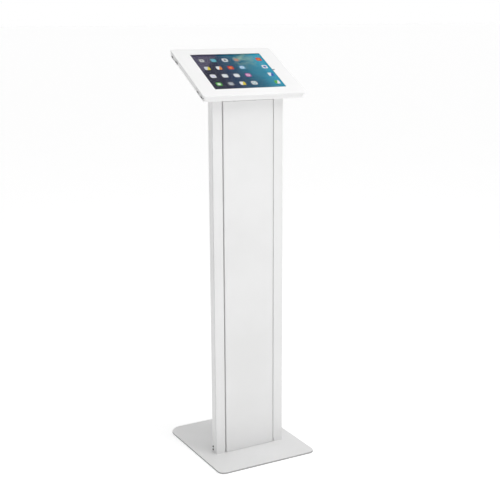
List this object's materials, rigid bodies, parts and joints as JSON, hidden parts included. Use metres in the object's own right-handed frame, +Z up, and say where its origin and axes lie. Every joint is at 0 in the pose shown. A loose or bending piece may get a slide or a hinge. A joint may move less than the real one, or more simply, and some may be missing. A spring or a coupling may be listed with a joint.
{
  "type": "touchscreen kiosk",
  "caption": "Tablet kiosk on a slim floor column: a tilted, locking steel head with a hinged front cover, a lift-off cable panel and a flat base plate.",
  "frame": {"origin": "centre of the base's footprint, on the floor", "axes": "+Z up; -Y towards the visitor, who faces the screen; +X to the visitor's right"},
  "size_m": [0.288, 0.327, 1.0563],
  "materials": {
    "white_powder_coat": "fine satin powder coat on sheet steel",
    "zinc_steel": "bright zinc plate",
    "black_steel": "blackened screw steel",
    "chrome": "polished chrome plate",
    "black_rubber": "matt moulded rubber",
    "sponge_rubber": "closed-cell sponge rubber",
    "black_plastic": "fine moulded texture",
    "tablet_aluminium": "bead-blasted, anodised",
    "screen": "lit display panel",
    "screen_glass": "polished cover glass",
    "camera_lens": "polished",
    "home_button": "polished"
  },
  "bodies": {
    "stand": {"base_plate": "white_powder_coat", "base_pads": "black_rubber", "base_screws": "zinc_steel", "foot_tray": "zinc_steel", "foot_bracket": "white_powder_coat", "column_channel": "white_powder_coat", "left_strip": "white_powder_coat", "right_strip": "white_powder_coat", "column_header": "white_powder_coat", "side_screws": "black_steel", "cable_grommet": "black_rubber", "head_bracket": "white_powder_coat", "bracket_bolts": "zinc_steel", "bracket_nuts": "zinc_steel", "head_housing": "white_powder_coat", "head_screws": "zinc_steel", "head_nuts": "zinc_steel", "head_grommet": "black_rubber", "tablet_tray": "zinc_steel", "tray_pads": "sponge_rubber", "clamp_screws": "zinc_steel", "clamp_nuts": "zinc_steel", "hinge_fixed_leaves": "white_powder_coat", "hinge_pins": "zinc_steel", "hinge_screws": "black_steel", "lock_housing": "chrome", "lock_nut": "zinc_steel", "tablet_body": "tablet_aluminium", "tablet_display": "screen", "tablet_glass": "screen_glass", "tablet_camera": "camera_lens"},
    "cover": {"front_cover": "white_powder_coat", "hinge_moving_leaves": "white_powder_coat", "cover_gasket": "sponge_rubber", "cover_catch": "zinc_steel"},
    "lock_barrel": {"lock_barrel": "chrome", "lock_cam": "zinc_steel", "cam_screw": "zinc_steel"},
    "key": {"key_blade": "chrome", "key_bow": "black_plastic"},
    "column_panel": {"column_panel": "white_powder_coat", "panel_clips": "black_plastic"},
    "left_clamp": {"left_clamp": "zinc_steel", "left_clamp_pads": "black_rubber"},
    "right_clamp": {"right_clamp": "zinc_steel", "right_clamp_pads": "black_rubber"},
    "home_button": {"home_button": "home_button"},
    "power_button": {"power_button": "tablet_aluminium"},
    "volume_up_button": {"volume_up_button": "tablet_aluminium"},
    "volume_down_button": {"volume_down_button": "tablet_aluminium"}
  },
  "joints": [
    {"name": "cover_hinge", "type": "hinge", "parent": "stand", "child": "cover", "pos_m": [-0.1418, -0.00153, 0.99766], "axis": [0, -0.8746, -0.4848], "range_deg": [0, 110]},
    {"name": "lock_turn", "type": "hinge", "parent": "stand", "child": "lock_barrel", "pos_m": [0.12, 0.00498, 0.98869], "axis": [0, -0.4848, 0.8746], "range_deg": [0, 90]},
    {"name": "key_pull", "type": "slide", "parent": "lock_barrel", "child": "key", "axis": [0, 0.4848, -0.8746], "range_m": [0, 0.025]},
    {"name": "panel_pull", "type": "slide", "parent": "stand", "child": "column_panel", "axis": [0, -1, 0], "range_m": [0, 0.06]},
    {"name": "left_clamp_slide", "type": "slide", "parent": "stand", "child": "left_clamp", "axis": [-1, 0, 0], "range_m": [0, 0.008]},
    {"name": "right_clamp_slide", "type": "slide", "parent": "stand", "child": "right_clamp", "axis": [1, 0, 0], "range_m": [0, 0.008]},
    {"name": "home_press", "type": "slide", "parent": "stand", "child": "home_button", "axis": [0, 0.4848, -0.8746], "range_m": [0, 0.0004], "stiffness_N_per_m": 2500},
    {"name": "power_press", "type": "slide", "parent": "stand", "child": "power_button", "axis": [-1, 0, 0], "range_m": [0, 0.0004], "stiffness_N_per_m": 2500},
    {"name": "volume_up_press", "type": "slide", "parent": "stand", "child": "volume_up_button", "axis": [0, -0.8746, -0.4848], "range_m": [0, 0.0004], "stiffness_N_per_m": 2500},
    {"name": "volume_down_press", "type": "slide", "parent": "stand", "child": "volume_down_button", "axis": [0, -0.8746, -0.4848], "range_m": [0, 0.0004], "stiffness_N_per_m": 2500}
  ]
}
